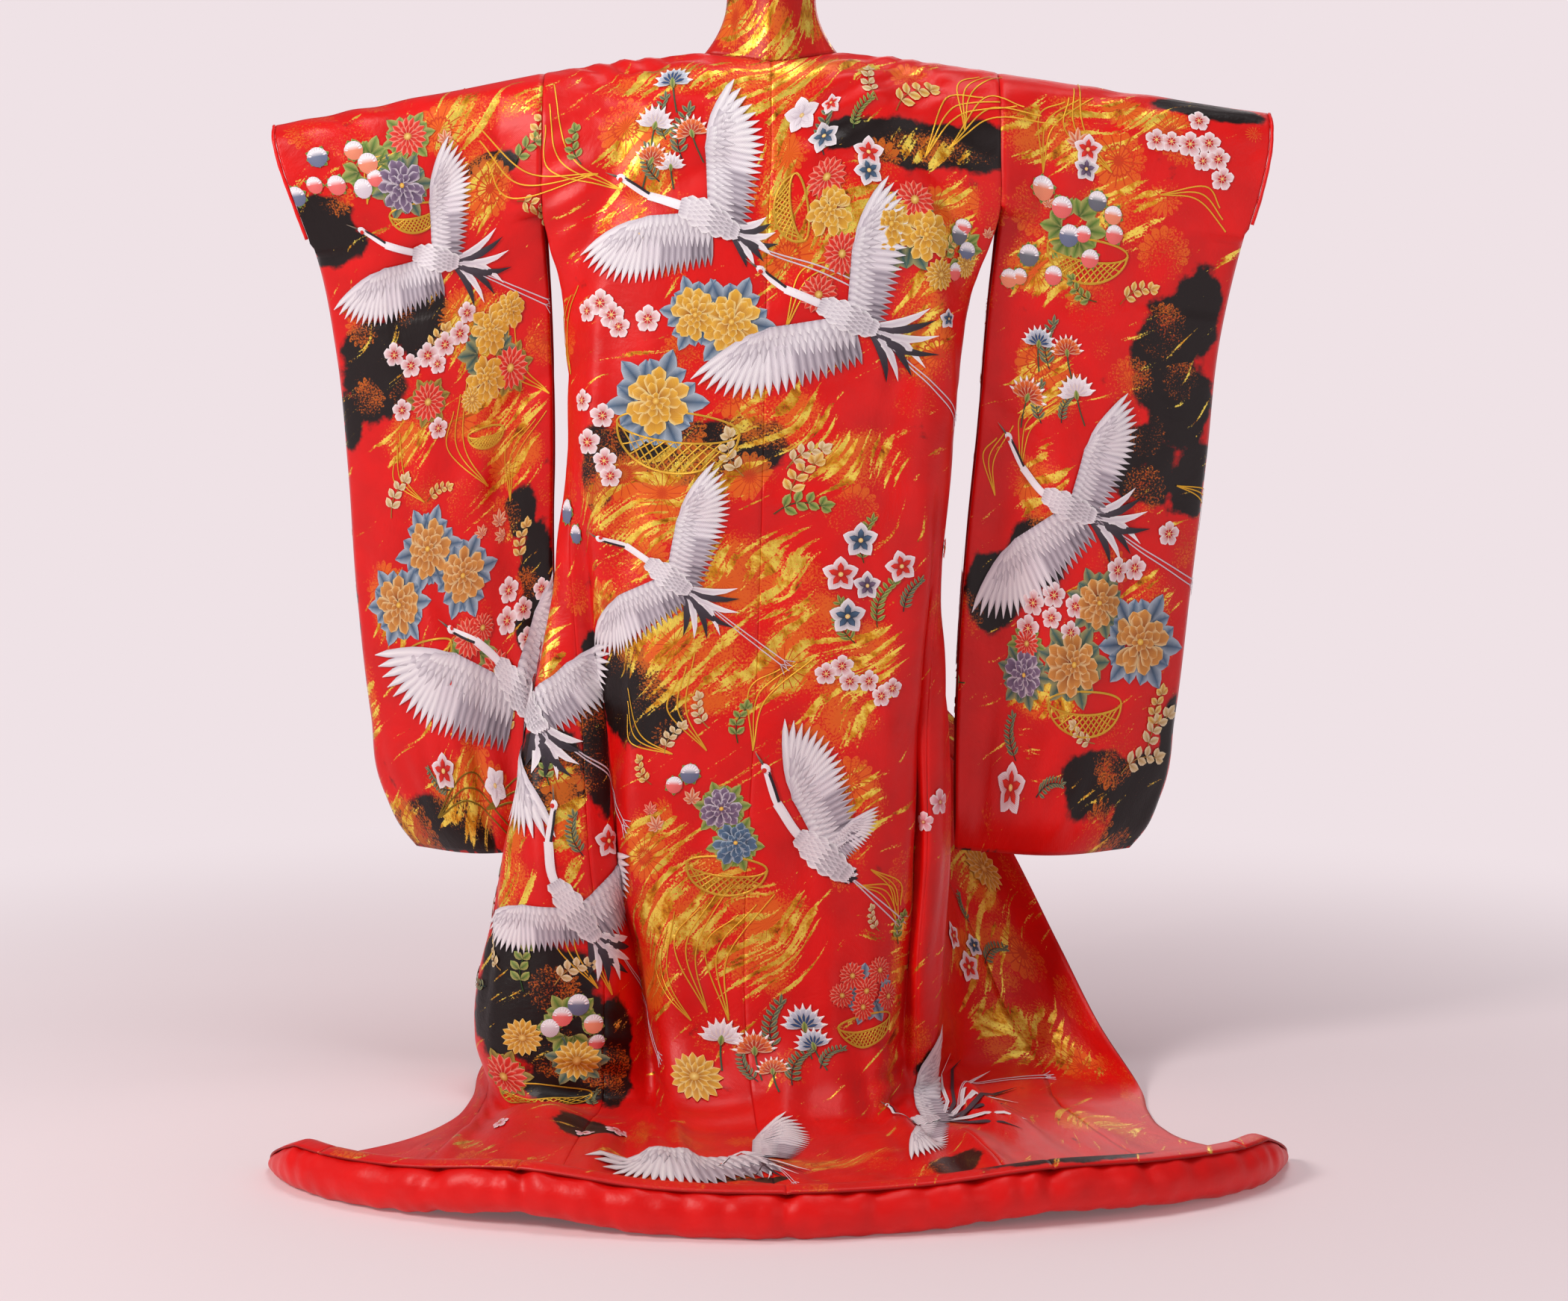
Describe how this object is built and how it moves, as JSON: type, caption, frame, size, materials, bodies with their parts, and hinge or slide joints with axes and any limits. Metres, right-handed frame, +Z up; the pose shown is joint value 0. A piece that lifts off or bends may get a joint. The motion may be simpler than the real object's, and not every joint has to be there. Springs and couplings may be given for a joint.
{
  "type": "uchikake wedding kimono",
  "caption": "Long red wedding over-kimono worn open: hanging furisode sleeves, standing collar, trailing train with a padded hem roll.",
  "frame": {"origin": "on the centre line, at the height where the garment rests on the shoulders at the back of the neck", "axes": "+Z up; +Y to the wearer's front, so the train runs to -Y; +X to the right as seen from behind"},
  "size_m": [1.3375, 1.0711, 1.4608],
  "materials": {
    "brocade": "red silk satin brocade with gold foil and embroidery",
    "gold_brocade": "red silk brocade dense with gold foil",
    "satin": "plain bright red silk satin"
  },
  "bodies": {
    "root": {"body_left": "brocade", "body_right": "brocade", "collar": "gold_brocade", "cuff_piping_left": "satin", "cuff_piping_right": "satin", "hem_roll": "satin", "okumi_left": "brocade", "okumi_right": "brocade", "sleeve_left": "brocade", "sleeve_right": "brocade"}
  },
  "joints": []
}
